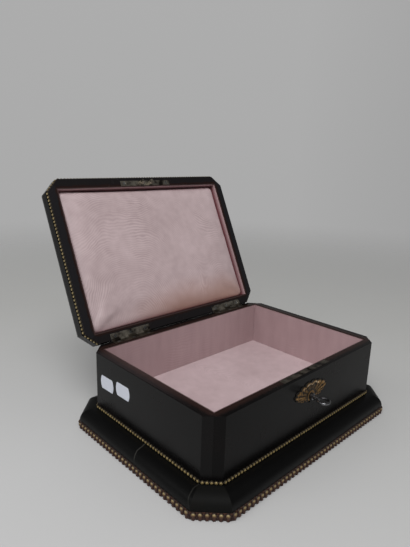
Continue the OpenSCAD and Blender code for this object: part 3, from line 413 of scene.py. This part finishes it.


# Watered silk: ribbed taffeta pressed double, so its ribs lie flat in wavy lines that shine apart.
# The lines ring slow arches, as the grain of a board does. eyes are the arches' middles in the sheet's
# plane, in millimetres, and a tall below 1 makes the arches taller than circles. line is the lines'
# distance, drawn how strong they are at their faintest and their plainest, and edges gives heights
# between which the silk goes over to a darker colour, each with its colour: a brown along a turned edge,
# and painted shade deep in the lid's recess and in the gap round the cushion.
def watered_silk(name, body, plane, eyes, pale="#cbb7b9", deep="#a08c8d", line=2.6 * MM, tall=0.8,
                 drawn=(0.05, 0.3), edges=(), stained_and_shaded=False):
    made, tree, bsdf = new_finish(name)
    bsdf.inputs["Roughness"].default_value = 0.5
    bsdf.inputs["Sheen Weight"].default_value = 0.1
    bsdf.inputs["Sheen Roughness"].default_value = 0.4
    at = place(tree, body)
    axes = add(tree, "ShaderNodeSeparateXYZ", {"Vector": at})
    tall_axis = add(tree, "ShaderNodeMath", {0: axes.outputs[plane[1]], 1: tall}, operation="MULTIPLY")
    sheet = add(tree, "ShaderNodeCombineXYZ", {"X": axes.outputs[plane[0]], "Y": tall_axis.outputs[0]})
    reach = [add(tree, "ShaderNodeVectorMath", {0: sheet.outputs[0], 1: (u * MM, v * tall * MM, 0)},
                 operation="DISTANCE").outputs["Value"] for u, v in eyes]
    second = add(tree, "ShaderNodeMath", {0: reach[1], 1: EYE_BEHIND}, operation="ADD")
    nearest = add(tree, "ShaderNodeMath", {0: reach[0], 1: second.outputs[0], 2: EYE_BLEND}, operation="SMOOTH_MIN")
    swim = add(tree, "ShaderNodeTexNoise", {"Vector": at, "Scale": marks(71.43 * MM), "Detail": 3, "Roughness": 0.5})
    bent = add(tree, "ShaderNodeMath", {0: swim.outputs["Fac"], 1: SWAY, 2: nearest.outputs[0]},
               operation="MULTIPLY_ADD")
    phase = add(tree, "ShaderNodeMath", {0: bent.outputs[0], 1: 2 * math.pi / line}, operation="MULTIPLY")
    wave = add(tree, "ShaderNodeMath", {0: phase.outputs[0]}, operation="SINE")
    # The lines come and go, and the cloth is cloudy where it has faded and rubbed
    patch = add(tree, "ShaderNodeTexNoise", {"Vector": at, "Scale": marks(52.63 * MM), "Detail": 2})
    fresh = add(tree, "ShaderNodeMapRange", {"Value": patch.outputs["Fac"], "From Min": 0.42, "From Max": 0.66,
                                             "To Min": drawn[0], "To Max": drawn[1]})
    faint = add(tree, "ShaderNodeMath", {0: wave.outputs[0], 1: fresh.outputs[0]}, operation="MULTIPLY")
    cloudy = add(tree, "ShaderNodeTexNoise", {"Vector": at, "Scale": marks(142.86 * MM), "Detail": 4,
                                              "Roughness": 0.55})
    long_way = add(tree, "ShaderNodeMapping", {"Vector": at, "Scale": (5, 5, 1)})
    rubbed = add(tree, "ShaderNodeTexNoise", {"Vector": long_way.outputs[0], "Scale": marks(55.56 * MM), "Detail": 3})
    worn = add(tree, "ShaderNodeMath", {0: rubbed.outputs["Fac"], 1: 0.7, 2: faint.outputs[0]},
               operation="MULTIPLY_ADD")
    both = add(tree, "ShaderNodeMath", {0: cloudy.outputs["Fac"], 1: 1.5, 2: worn.outputs[0]},
               operation="MULTIPLY_ADD")
    shade = add(tree, "ShaderNodeMapRange", {"Value": both.outputs[0], "From Min": 0.5, "From Max": 1.7})
    colour = add(tree, "ShaderNodeMix", {"Factor": shade.outputs[0], "A": linear(deep), "B": linear(pale)},
                 data_type="RGBA")
    if stained_and_shaded:
        # A darker peach patch beside the hinges: partly a stain, partly painted shade along the lid's lower edge
        squat = add(tree, "ShaderNodeVectorMath", {0: at, 1: PEACH_SQUAT}, operation="MULTIPLY")
        from_peach = add(tree, "ShaderNodeVectorMath", {0: squat.outputs[0], 1: PEACH_MIDDLE}, operation="DISTANCE")
        ragged = add(tree, "ShaderNodeMath", {0: swim.outputs["Fac"], 1: 40 * MM, 2: from_peach.outputs["Value"]},
                     operation="MULTIPLY_ADD")
        stain_and_shade = add(tree, "ShaderNodeMapRange", {"Value": ragged.outputs[0], "From Min": PEACH_END,
                                                 "From Max": PEACH_FULL, "To Max": 0.85},
                    interpolation_type="SMOOTHSTEP")
        colour = add(tree, "ShaderNodeMix", {"Factor": stain_and_shade.outputs[0], "A": colour.outputs["Result"],
                                             "B": linear("#9e7666")}, data_type="RGBA")
    for start, stop, brown in edges:
        edge_and_shade = add(tree, "ShaderNodeMapRange", {"Value": axes.outputs["Z"], "From Min": start, "From Max": stop})
        colour = add(tree, "ShaderNodeMix", {"Factor": edge_and_shade.outputs[0], "A": colour.outputs["Result"],
                                             "B": linear(brown)}, data_type="RGBA")
    tree.links.new(colour.outputs["Result"], bsdf.inputs["Base Color"])
    ribs = add(tree, "ShaderNodeMath", {0: axes.outputs[plane[0]], 1: 2 * math.pi / RIB}, operation="MULTIPLY")
    rib = add(tree, "ShaderNodeMath", {0: ribs.outputs[0]}, operation="SINE")
    bump = add(tree, "ShaderNodeBump", {"Height": rib.outputs[0], "Strength": 0.15, "Distance": 0.05 * MM})
    tree.links.new(bump.outputs[0], bsdf.inputs["Normal"])
    return made


# The walls' silk is painted darker than the floor's, as painted shade, and brown along its turned edge at the top
LINING_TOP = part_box("lining_left")[1][2]
shaded_silk = {"pale": "#b49a9c", "deep": "#92787a", "line": 3.6 * MM, "tall": 1.0, "drawn": (0.0, 0.12),
               "edges": ((LINING_TOP - 0.5 * MM, LINING_TOP - 0.1 * MM, "#3f2a28"),)}
dress(watered_silk("silk_floor", "case", "XY", ((-190, 130), (110, 150)), "#cdb8bb", "#a89294", drawn=(0.0, 0.14)),
      "silk", "lining_floor")
dress(watered_silk("silk_long", "case", "XZ", ((-40, -500), (300, -700)), **shaded_silk), "silk",
      "lining_front", "lining_back")
dress(watered_silk("silk_side", "case", "YZ", ((-30, -500), (300, -700)), **shaded_silk), "silk",
      "lining_left", "lining_right")

# ---------------------------------------------------------------------------------------------------
# Hinges. Pressed brass butts let into the rims, with steel pins and screws. Polish and dust have
# greyed the brass, and the screw heads stand bright in it.
# ---------------------------------------------------------------------------------------------------


# Dulled metal: brass or steel gone grey-brown under old polish, with a blurred shine
def dulled_metal(name, body, bright, dull, rough=0.4):
    made, tree, bsdf = new_finish(name)
    bsdf.inputs["Metallic"].default_value = 0.9
    at = place(tree, body)
    tarnish = add(tree, "ShaderNodeTexNoise", {"Vector": at, "Scale": marks(7.69 * MM), "Detail": 4, "Roughness": 0.5})
    clean = add(tree, "ShaderNodeMapRange", {"Value": tarnish.outputs["Fac"], "From Min": 0.36, "From Max": 0.66})
    colour = add(tree, "ShaderNodeMix", {"Factor": clean.outputs[0], "A": linear(dull), "B": linear(bright)},
                 data_type="RGBA")
    tree.links.new(colour.outputs["Result"], bsdf.inputs["Base Color"])
    blur = add(tree, "ShaderNodeMapRange", {"Value": clean.outputs[0], "To Min": rough + 0.1, "To Max": rough - 0.08})
    tree.links.new(blur.outputs[0], bsdf.inputs["Roughness"])
    bump = add(tree, "ShaderNodeBump", {"Height": tarnish.outputs["Fac"], "Strength": 0.15, "Distance": 0.08 * MM})
    tree.links.new(bump.outputs[0], bsdf.inputs["Normal"])
    return made


aged_brass = dulled_metal("aged_brass_case", "case", "#756c5f", "#26211c")
aged_brass_lid = dulled_metal("aged_brass_lid", "lid", "#b9b2a3", "#2b2622")
old_steel = dulled_metal("old_steel", "case", "#b4b3b2", "#4a4744", rough=0.3)
old_steel_lid = dulled_metal("old_steel_lid", "lid", "#cfcfcb", "#151413", rough=0.25)
dress(aged_brass, "brass", "hinge_leaves_case")
dress(aged_brass_lid, "brass", "hinge_leaves_lid")
dress(old_steel, "steel", "hinge_pins", "hinge_screws_case")
dress(old_steel_lid, "steel", "hinge_screws_lid")

# ---------------------------------------------------------------------------------------------------
# Lock. A box lock cut into the inside of the front wall: brass case, edge plate and cap, steel bolt,
# studs, drill pin and spring. Its edge plate shows in the rim, with two slots for the staples.
# ---------------------------------------------------------------------------------------------------

dress(aged_brass, "brass", "lock_case", "lock_cap")
dress(dulled_metal("lock_steel", "case", "#7d7970", "#2b2824"), "steel",
      "lock_bolt", "lock_studs", "lock_drill_pin", "lock_spring", "lock_screws")

# ---------------------------------------------------------------------------------------------------
# Escutcheon and key. A gilt brass plate stamped in leafy scrolls, with a wing either side of the
# keyhole and pinned to the wall, and a plain steel pipe key with a ring bow left in the lock.
# ---------------------------------------------------------------------------------------------------

PLATE_HALF = (31 * MM, 12.5 * MM)
PLATE_MIDDLE_Z, KEY_Z, FRONT_Y = 72 * MM, 67.5 * MM, -106 * MM
KEYHOLE_R, SLOT_HALF = 2.9 * MM, 1.4 * MM
# How low and how high the metal stands off the wall anywhere, and how high it stands where it is plain
PLATE_LOW, PLATE_HIGH, PLAIN = 0.5 * MM, 2.6 * MM, 1.1 * MM
# Heights of what is stamped in it: the swell from the edge inward, the leaves, their veins and the dints
SWELL, LEAF, VEIN, DINT = 0.45 * MM, 0.45 * MM, 0.25 * MM, 0.5 * MM
# How far a leaf's edge reaches out beside a crease's, and the sizes of the veins, their bends and the dints
LEAF_REACH, VEIN_STEP, VEIN_BEND, DINT_SIZE = 1.1 * MM, 0.55 * MM, 2.5 * MM, 2.6 * MM
# Height, radius and half width of the raised ring round the keyhole, and of the groove beyond it
RING, GROOVE = (0.5 * MM, 5.4 * MM, 0.9 * MM), (-0.35 * MM, 7.6 * MM, 0.8 * MM)
# Steps from the keyhole to the edge, and how many steps along the edge count as a neighbourhood
RINGS, NEIGHBOURS = 22, 9
# Right half of the leafy edge, from top to bottom, in shares of the plate's half width and height
LEAF_EDGE = (
    (0, 0.82), (0.05, 0.95), (0.13, 1.04), (0.23, 1.02), (0.32, 0.92), (0.37, 0.74), (0.43, 0.84), (0.52, 0.84),
    (0.6, 0.74), (0.65, 0.54), (0.71, 0.6), (0.79, 0.56), (0.87, 0.42), (0.88, 0.22), (0.95, 0.14), (0.94, -0.03),
    (0.87, -0.13), (0.85, -0.28), (0.77, -0.38), (0.69, -0.4), (0.64, -0.53), (0.55, -0.62), (0.45, -0.61),
    (0.38, -0.53), (0.33, -0.68), (0.25, -0.79), (0.17, -0.8), (0.12, -0.72), (0.075, -0.85))


def new_piece(name, mesh):
    """A piece made from a worked mesh, faces outward."""
    bmesh.ops.recalc_face_normals(mesh, faces=mesh.faces)
    made = bpy.data.meshes.new(name)
    mesh.to_mesh(made)
    mesh.free()
    piece = bpy.data.objects.new(name, made)
    bpy.context.scene.collection.objects.link(piece)
    return piece


def ridge(away, width):
    """A rounded ridge, 1 high at its middle line."""
    return math.exp(-(away / width) ** 2)


def bounded(value, low, high):
    """The value, kept between low and high."""
    return max(low, min(high, value))


def leaf_plate(name):
    """A stamped plate whose leaves spread from the keyhole: creased between them, ribbed along them."""
    knots = [Vector((x * PLATE_HALF[0], z * PLATE_HALF[1] + PLATE_MIDDLE_Z - KEY_Z)) for x, z in LEAF_EDGE]
    edge = []
    for k in range(len(knots) - 1):
        a, b, c, d = (knots[min(max(k + n, 0), len(knots) - 1)] for n in (-1, 0, 1, 2))
        for t in (0, 0.2, 0.4, 0.6, 0.8):
            edge.append(0.5 * ((2 * b) + (c - a) * t + (2 * a - 5 * b + 4 * c - d) * t ** 2
                               + (3 * b - a - 3 * c + d) * t ** 3))
    edge.append(knots[-1])
    edge = [Vector((-p.x, p.y)) for p in reversed(edge[1:])] + edge
    reach = [p.length for p in edge]
    count = len(edge)
    mesh = bmesh.new()
    front = []
    for i, p in enumerate(edge):
        aim = p.normalized()
        lean = abs(aim.x)
        hole = KEYHOLE_R
        if aim.y <= 0 and lean * KEYHOLE_R <= SLOT_HALF:
            hole = min(SLOT_HALF / max(lean, 0.01), 0.97 * reach[i])
        # A leaf stands where the edge reaches further than its neighbourhood, and a crease where it falls short
        about = [reach[min(max(i + n, 0), count - 1)] for n in range(-NEIGHBOURS, NEIGHBOURS + 1)]
        leaf = bounded((reach[i] - sum(about) / len(about)) / LEAF_REACH, -1.0, 1.0)
        row = []
        for j in range(RINGS + 1):
            t = j / RINGS
            at = aim * (hole + (reach[i] - hole) * t)
            spread = bounded((t - 0.1) / 0.5, 0.0, 1.0)
            # The plate swells inward from its edge, and each leaf swells on it
            height = PLAIN + SWELL * (1 - t ** 5) ** 0.6 * (0.55 + 0.45 * math.sin(math.pi * min(1.0, 1.15 * t)))
            height += LEAF * leaf * spread * (1 - t ** 10)
            # Veins hang from the upper edge, and the metal between is hammered uneven
            vein = abs(at.x) / VEIN_STEP + 1.5 * math.sin(at.y / VEIN_BEND)
            height += VEIN * math.cos(vein) * spread * (1 - t ** 6)
            height += DINT * noise.noise(Vector((abs(at.x), at.y, 0)) / DINT_SIZE) * spread
            # A raised ring and a groove go round the keyhole, and a rib round the leaves' edge, highest on top
            height += sum(rise * ridge(at.length - radius, width) for rise, radius, width in (RING, GROOVE))
            height += (0.35 + 0.75 * max(0.0, aim.y)) * MM * ridge(t - 0.88, 0.07)
            row.append(mesh.verts.new((at.x, FRONT_Y - bounded(height, PLATE_LOW, PLATE_HIGH), KEY_Z + at.y)))
        front.append(row)
    back = [[mesh.verts.new((v.co.x, FRONT_Y, v.co.z)) for v in (row[0], row[-1])] for row in front]
    for i in range(count - 1):
        for j in range(RINGS):
            mesh.faces.new((front[i][j], front[i][j + 1], front[i + 1][j + 1], front[i + 1][j]))
        mesh.faces.new((back[i][0], back[i + 1][0], back[i + 1][1], back[i][1]))
        mesh.faces.new((front[i][0], front[i + 1][0], back[i + 1][0], back[i][0]))
        mesh.faces.new((front[i][-1], back[i][1], back[i + 1][1], front[i + 1][-1]))
    for i in (0, count - 1):
        mesh.faces.new(front[i] + [back[i][1], back[i][0]])
    piece = new_piece(name, mesh)
    for face in piece.data.polygons:
        face.use_smooth = True
    piece.data.set_sharp_from_angle(angle=math.radians(50))
    return piece


leaf_escutcheon = leaf_plate("leaf_escutcheon")
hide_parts("escutcheon")
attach(leaf_escutcheon, "case")
# Its low edge and hollows go near black, painted shade with dirt, and its highest crowns pale, worn gilding with a
# painted highlight
gilt_plate = worn_gilt("gilt_escutcheon", "case", "#ab8145", "#120d07", (0.8 * MM, 2.05 * MM), rough=0.36,
                       bare="#d2c4ae")
dress(gilt_plate, "brass", leaf_escutcheon, "escutcheon_pins")
dress(dulled_metal("key_steel", "case", "#8d8d90", "#3f3e40", rough=0.25), "steel", "key")

# ---------------------------------------------------------------------------------------------------
# Lid. Four mitred rails, a rounded moulding glued round them and a panel on top, all of the same
# ebonised fruitwood as the case, with the rim rubbed brown beside the silk.
# ---------------------------------------------------------------------------------------------------

lid_rim = (3.5 * MM, 5.5 * MM)
dress(ebonised("ebonised_rail_long", "lid", "X", "#1c1a1b", rim=lid_rim, wear=0.15), "ebonised_wood",
      "lid_rail_front", "lid_rail_back")
dress(ebonised("ebonised_rail_side", "lid", "Y", "#1f1e20", rim=lid_rim, wear=0.15), "ebonised_wood",
      "lid_rail_left", "lid_rail_right")
dress(ebonised("ebonised_lid_long", "lid", "X"), "ebonised_wood", "lid_moulding_front", "lid_moulding_back")
dress(ebonised("ebonised_lid_side", "lid", "Y"), "ebonised_wood", "lid_moulding_left", "lid_moulding_right",
      "lid_moulding_corners")
dress(ebonised("ebonised_lid_panel", "lid", "X", wear=0.1), "ebonised_wood", "lid_panel")
dress(aged_brass_lid, "brass", "strike_plate")
dress(old_steel_lid, "steel", "strike_screws")

# ---------------------------------------------------------------------------------------------------
# Lid lining and cushion board. Strips of silk-covered card round the inside of the rails, and the
# card that the cushion is made up on.
# ---------------------------------------------------------------------------------------------------

# Deep in the recess the strips are painted dark red, painted shade behind the cushion's sides, and they go dark brown
# along their edge by the rim
dress(watered_silk("silk_lid_lining", "lid", "XY", ((-60, 40), (80, 60)), "#b49a9c", "#a4888a",
                   edges=((RIM_Z + RIM_GAP + 3 * MM, RIM_Z + RIM_GAP + 9 * MM, "#7f4a4f"),
                          (RIM_Z + RIM_GAP + 0.95 * MM, RIM_Z + RIM_GAP + 0.65 * MM, "#3a2725"))), "silk",
      "lid_lining", "lid_pad_board")

# ---------------------------------------------------------------------------------------------------
# Cushion of the lid. Watered silk drawn over cotton wadding and turned under its board all round, so
# it crowns in the middle and draws in between its corners.
# ---------------------------------------------------------------------------------------------------

# Half sizes as made up, and those that it may swell to between the lining strips
PAD_HALF, PAD_LIMIT = (136.6 * MM, 92.6 * MM), (136.7 * MM, 92.7 * MM)
# Height of its back as on the shut lid, its crown, how far its edges draw in and how far it may swell
PAD_BACK = RIM_Z + RIM_GAP + 15.7 * MM
PAD_CROWN, PAD_DRAW, PAD_SWELL = 13 * MM, 0.45 * MM, 2.4 * MM
# How much of its height is turned under and held, and how near the rim's plane it may come
PAD_HELD, PAD_CLEAR = 8 * MM, 0.3 * MM
# Steps along and across it, the cells of its cloth skin, and the frames that the skin swells in
PAD_STEPS, SKIN_CELL, SWELL_FRAMES = (64, 44), 4 * MM, 20


def open_lid():
    """Turns what is built as on a shut lid to the open lid."""
    return Matrix.Translation(PIN) @ Matrix.Rotation(math.radians(-LID_OPEN), 4, "X") @ Matrix.Translation(-PIN)


def pad_height(u, v, crown):
    """The cushion's height over its back at u and v, from -1 to 1 across it: full, with steep sides."""
    side = max(0.0, 1 - abs(u) ** 50) ** 0.3 * max(0.0, 1 - abs(v) ** 38) ** 0.3
    # The wadding has crept to the left and towards the hinges
    level = 0.92 + 0.08 * math.cos(u * math.pi / 2) * math.cos(v * math.pi / 2) - 0.08 * u + 0.09 * v
    return crown * side * level


def cushion_piece(name):
    """A crowned grid on a flat back, in the shut lid's place, crown down."""
    nx, ny = PAD_STEPS
    mesh = bmesh.new()
    rows = []
    for j in range(ny + 1):
        v = -math.cos(math.pi * j / ny)
        row = []
        for i in range(nx + 1):
            u = -math.cos(math.pi * i / nx)
            pull = noise.noise(Vector((3 * u, 3 * v, 7.1)))
            x = u * (PAD_HALF[0] - PAD_DRAW * (1 - v * v) * (1 + 1.6 * pull) * (1.2 + u))
            y = v * (PAD_HALF[1] - PAD_DRAW * (1 - u * u) * (1 + 1.6 * pull) * (1.2 - v))
            row.append(mesh.verts.new((x, y, PAD_BACK - pad_height(u, v, PAD_CROWN * (1 + 0.08 * pull)))))
        rows.append(row)
    for j in range(ny):
        for i in range(nx):
            mesh.faces.new((rows[j][i], rows[j + 1][i], rows[j + 1][i + 1], rows[j][i + 1]))
    rim = [rows[0][i] for i in range(nx)] + [rows[j][nx] for j in range(ny)]
    rim += [rows[ny][i] for i in range(nx, 0, -1)] + [rows[j][0] for j in range(ny, 0, -1)]
    middle = mesh.verts.new((0, 0, PAD_BACK))
    for a, b in zip(rim, rim[1:] + rim[:1]):
        mesh.faces.new((middle, a, b))
    return new_piece(name, mesh)


cushion = cushion_piece("cushion")
# The wadding swells the cover: a cloth skin blown out from inside, held by its turned-under back
skin = cushion.modifiers.new("skin", "REMESH")
skin.mode, skin.voxel_size = "VOXEL", SKIN_CELL
cover = bpy.data.meshes.new_from_object(cushion.evaluated_get(bpy.context.evaluated_depsgraph_get()))
cushion.modifiers.clear()
cushion.data = cover
held = cushion.vertex_groups.new(name="turned_under")
held.add([v.index for v in cover.vertices if v.co.z > PAD_BACK - PAD_HELD], 1.0, "REPLACE")
start = [v.co.copy() for v in cover.vertices]
cloth = cushion.modifiers.new("cover", "CLOTH")
cloth.settings.use_pressure = True
cloth.settings.uniform_pressure_force = 4
cloth.settings.bending_stiffness = 3
cloth.settings.effector_weights.gravity = 0
cloth.settings.vertex_group_mass = "turned_under"
cloth.point_cache.frame_end = SWELL_FRAMES
for step in range(1, SWELL_FRAMES + 1):
    bpy.context.scene.frame_set(step)
swollen = cushion.evaluated_get(bpy.context.evaluated_depsgraph_get()).data
ends = [v.co.copy() for v in swollen.vertices]
cushion.modifiers.clear()
bpy.context.scene.frame_set(1)
for vertex, a, b in zip(cover.vertices, start, ends):
    moved = b - a
    if moved.length > 0:
        moved *= PAD_SWELL * math.tanh(moved.length / PAD_SWELL) / moved.length
    x, y, z = a + moved
    vertex.co = (bounded(x, -PAD_LIMIT[0], PAD_LIMIT[0]), bounded(y, -PAD_LIMIT[1], PAD_LIMIT[1]),
                 bounded(z, RIM_Z + RIM_GAP + PAD_CLEAR, PAD_BACK))
cushion.data.transform(open_lid())
for face in cushion.data.polygons:
    face.use_smooth = True
cushion.modifiers.new("smooth_cover", "SUBSURF").levels = 1
# Its sides near the back are painted dark red, painted shade in the gap against the lining strips; the peach patch
# beside the hinges is partly painted shade
dress(watered_silk("silk_cushion", "lid", "XY", ((-66, 104), (98, 100)), stained_and_shaded=True,
                   edges=((PAD_BACK - 8.5 * MM, PAD_BACK - 6.5 * MM, "#7c3f46"),)), "silk", cushion)
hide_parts("lid_pad")
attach(cushion, "lid")

# ---------------------------------------------------------------------------------------------------
# Labels. Two blank labels of coated white paper, 26 mm by 16 mm, cut with barrel ends and stuck on
# the left wall with their own gum, a little askew.
# ---------------------------------------------------------------------------------------------------

LABEL_W, LABEL_H, LABEL_T, LABEL_BOW, BOW_STEPS = 26 * MM, 16 * MM, 0.12 * MM, 2.3 * MM, 12
LEFT_X = -150 * MM
# Where the middle of each label is along and up the wall, and its tilt in degrees
LABELS = ((68 * MM, 62 * MM, -1.5), (36.5 * MM, 65.5 * MM, -1.0))

# Coated label paper: white and smooth, with the faintest mottle of its fibres
label_paper, tree, bsdf = new_finish("coated_label_paper")
bsdf.inputs["Roughness"].default_value = 0.55
fibre = add(tree, "ShaderNodeTexNoise", {"Vector": place(tree, "case"), "Scale": marks(2.38 * MM), "Detail": 3})
tint = add(tree, "ShaderNodeMix", {"Factor": fibre.outputs["Fac"], "A": linear("#c7cbd6"), "B": linear("#d6d9e3")},
           data_type="RGBA")
tree.links.new(tint.outputs["Result"], bsdf.inputs["Base Color"])

for number, (y, z, tilt) in enumerate(LABELS):
    mesh = bmesh.new()
    # Straight above and below, with each end bowed out between its corners
    rise = [LABEL_H * (k / BOW_STEPS - 0.5) for k in range(BOW_STEPS + 1)]
    ends = [(LABEL_W / 2 - LABEL_BOW * (2 * h / LABEL_H) ** 2, h) for h in rise]
    turn = Matrix.Rotation(math.radians(tilt), 2)
    edge = [turn @ Vector(e) for e in ends + [(-x, -h) for x, h in ends]]
    front = [mesh.verts.new((LEFT_X - LABEL_T, y + p.x, z + p.y)) for p in edge]
    back = [mesh.verts.new((LEFT_X, v.co.y, v.co.z)) for v in front]
    mesh.faces.new(front)
    mesh.faces.new(list(reversed(back)))
    for i in range(len(front)):
        k = (i + 1) % len(front)
        mesh.faces.new((front[i], back[i], back[k], front[k]))
    label = new_piece(f"label_{number + 1}", mesh)
    label.data.materials.append(label_paper)
    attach(label, "case")
